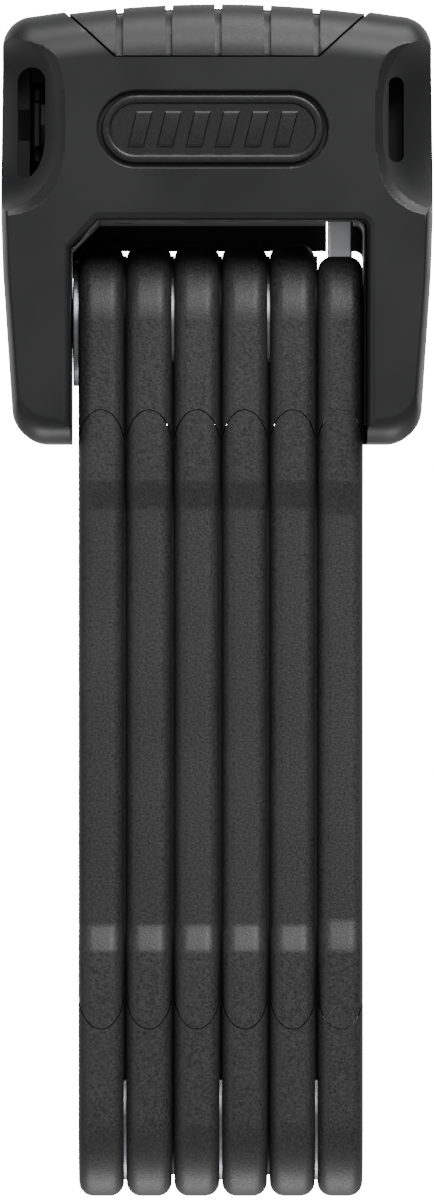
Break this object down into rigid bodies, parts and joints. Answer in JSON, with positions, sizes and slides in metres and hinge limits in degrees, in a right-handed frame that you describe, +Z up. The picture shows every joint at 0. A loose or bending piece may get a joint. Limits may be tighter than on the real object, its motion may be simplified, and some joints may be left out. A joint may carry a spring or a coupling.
{
  "type": "folding bike lock",
  "caption": "Folding bike lock: coated steel bars on rivets fold flat beside each other under a keyed lock body with a rubber grip on top.",
  "frame": {"origin": "on the lock body's flat back, at its middle across the width and above the recess that takes the bars", "axes": "+Z up along the folded bars, towards the lock body; +X to the right seen from the front; +Y out of the back, so the front faces -Y"},
  "size_m": [0.0684, 0.038, 0.19],
  "materials": {
    "body_steel": "black hardened steel",
    "shell": "black satin moulded plastic",
    "grip": "black soft rubber",
    "badge": "black moulded plate",
    "bar_coating": "black fine-grained two-component coating",
    "bar_steel": "black hardened steel",
    "tongue_steel": "plated steel",
    "washer": "polished plated steel",
    "fastener": "bright steel",
    "rivet": "black steel rivet",
    "cylinder_brass": "machined brass"
  },
  "bodies": {
    "lock_body": {"lock_body_core": "body_steel", "front_shell": "shell", "rear_shell": "shell", "grip_pad": "grip", "badge_plate": "badge", "cylinder_housing": "fastener", "retaining_ring": "fastener", "cylinder_pin": "fastener", "bolt_spring": "fastener", "shell_screw_1": "fastener", "shell_screw_2": "fastener", "shell_screw_3": "fastener", "shell_screw_4": "fastener", "rivet_body_1": "rivet", "washer_body_1": "washer"},
    "key_plug": {"cylinder_plug": "cylinder_brass", "sidebar": "fastener", "drive_cam": "fastener", "detainer_disc_1": "cylinder_brass", "detainer_disc_2": "cylinder_brass", "detainer_disc_3": "cylinder_brass", "detainer_disc_4": "cylinder_brass"},
    "bolt": {"locking_bolt": "washer"},
    "cover": {"keyhole_cover": "rivet"},
    "bar_1": {"bar_1_steel": "bar_steel", "bar_1_sleeve": "bar_coating", "bar_1_top_cap": "bar_coating", "bar_1_bottom_cap": "bar_coating", "rivet_1_2": "rivet", "washer_1_2": "washer"},
    "bar_2": {"bar_2_steel": "bar_steel", "bar_2_sleeve": "bar_coating", "bar_2_top_cap": "bar_coating", "bar_2_bottom_cap": "bar_coating", "rivet_2_3": "rivet", "washer_2_3": "washer"},
    "bar_3": {"bar_3_steel": "bar_steel", "bar_3_sleeve": "bar_coating", "bar_3_top_cap": "bar_coating", "bar_3_bottom_cap": "bar_coating", "rivet_3_4": "rivet", "washer_3_4": "washer"},
    "bar_4": {"bar_4_steel": "bar_steel", "bar_4_sleeve": "bar_coating", "bar_4_top_cap": "bar_coating", "bar_4_bottom_cap": "bar_coating", "rivet_4_5": "rivet", "washer_4_5": "washer"},
    "bar_5": {"bar_5_steel": "bar_steel", "bar_5_sleeve": "bar_coating", "bar_5_top_cap": "bar_coating", "bar_5_bottom_cap": "bar_coating", "rivet_5_6": "rivet", "washer_5_6": "washer"},
    "bar_6": {"bar_6_steel": "tongue_steel", "bar_6_sleeve": "bar_coating", "bar_6_top_cap": "bar_coating", "bar_6_bottom_cap": "bar_coating"}
  },
  "joints": [
    {"name": "pivot_1", "type": "hinge", "parent": "lock_body", "child": "bar_1", "pos_m": [-0.0184, -0.019, -0.0328], "axis": [1, 0, 0], "range_deg": [-90, 0]},
    {"name": "pivot_2", "type": "hinge", "parent": "bar_1", "child": "bar_2", "pos_m": [-0.0108, -0.019, -0.1594], "axis": [1, 0, 0], "range_deg": [-175, 0]},
    {"name": "pivot_3", "type": "hinge", "parent": "bar_2", "child": "bar_3", "pos_m": [-0.0032, -0.019, -0.0328], "axis": [1, 0, 0], "range_deg": [-95, 0]},
    {"name": "pivot_4", "type": "hinge", "parent": "bar_3", "child": "bar_4", "pos_m": [0.0044, -0.019, -0.1594], "axis": [1, 0, 0], "range_deg": [-175, 0]},
    {"name": "pivot_5", "type": "hinge", "parent": "bar_4", "child": "bar_5", "pos_m": [0.012, -0.019, -0.0328], "axis": [1, 0, 0], "range_deg": [-95, 0]},
    {"name": "pivot_6", "type": "hinge", "parent": "bar_5", "child": "bar_6", "pos_m": [0.0196, -0.019, -0.1594], "axis": [1, 0, 0], "range_deg": [-175, 0]},
    {"name": "key_turn", "type": "hinge", "parent": "lock_body", "child": "key_plug", "pos_m": [0, -0.019, -0.00135], "axis": [1, 0, 0], "range_deg": [0, 90]},
    {"name": "bolt_slide", "type": "slide", "parent": "lock_body", "child": "bolt", "axis": [1, 0, 0], "range_m": [0, 0.0076], "deforming": ["bolt_spring"]},
    {"name": "cover_slide", "type": "slide", "parent": "lock_body", "child": "cover", "axis": [0, 0, 1], "range_m": [-0.008, 0]}
  ],
  "couplings": [
    {"joint": "bolt_slide", "follows": "key_turn", "m_per_rad": 0.0047747}
  ]
}
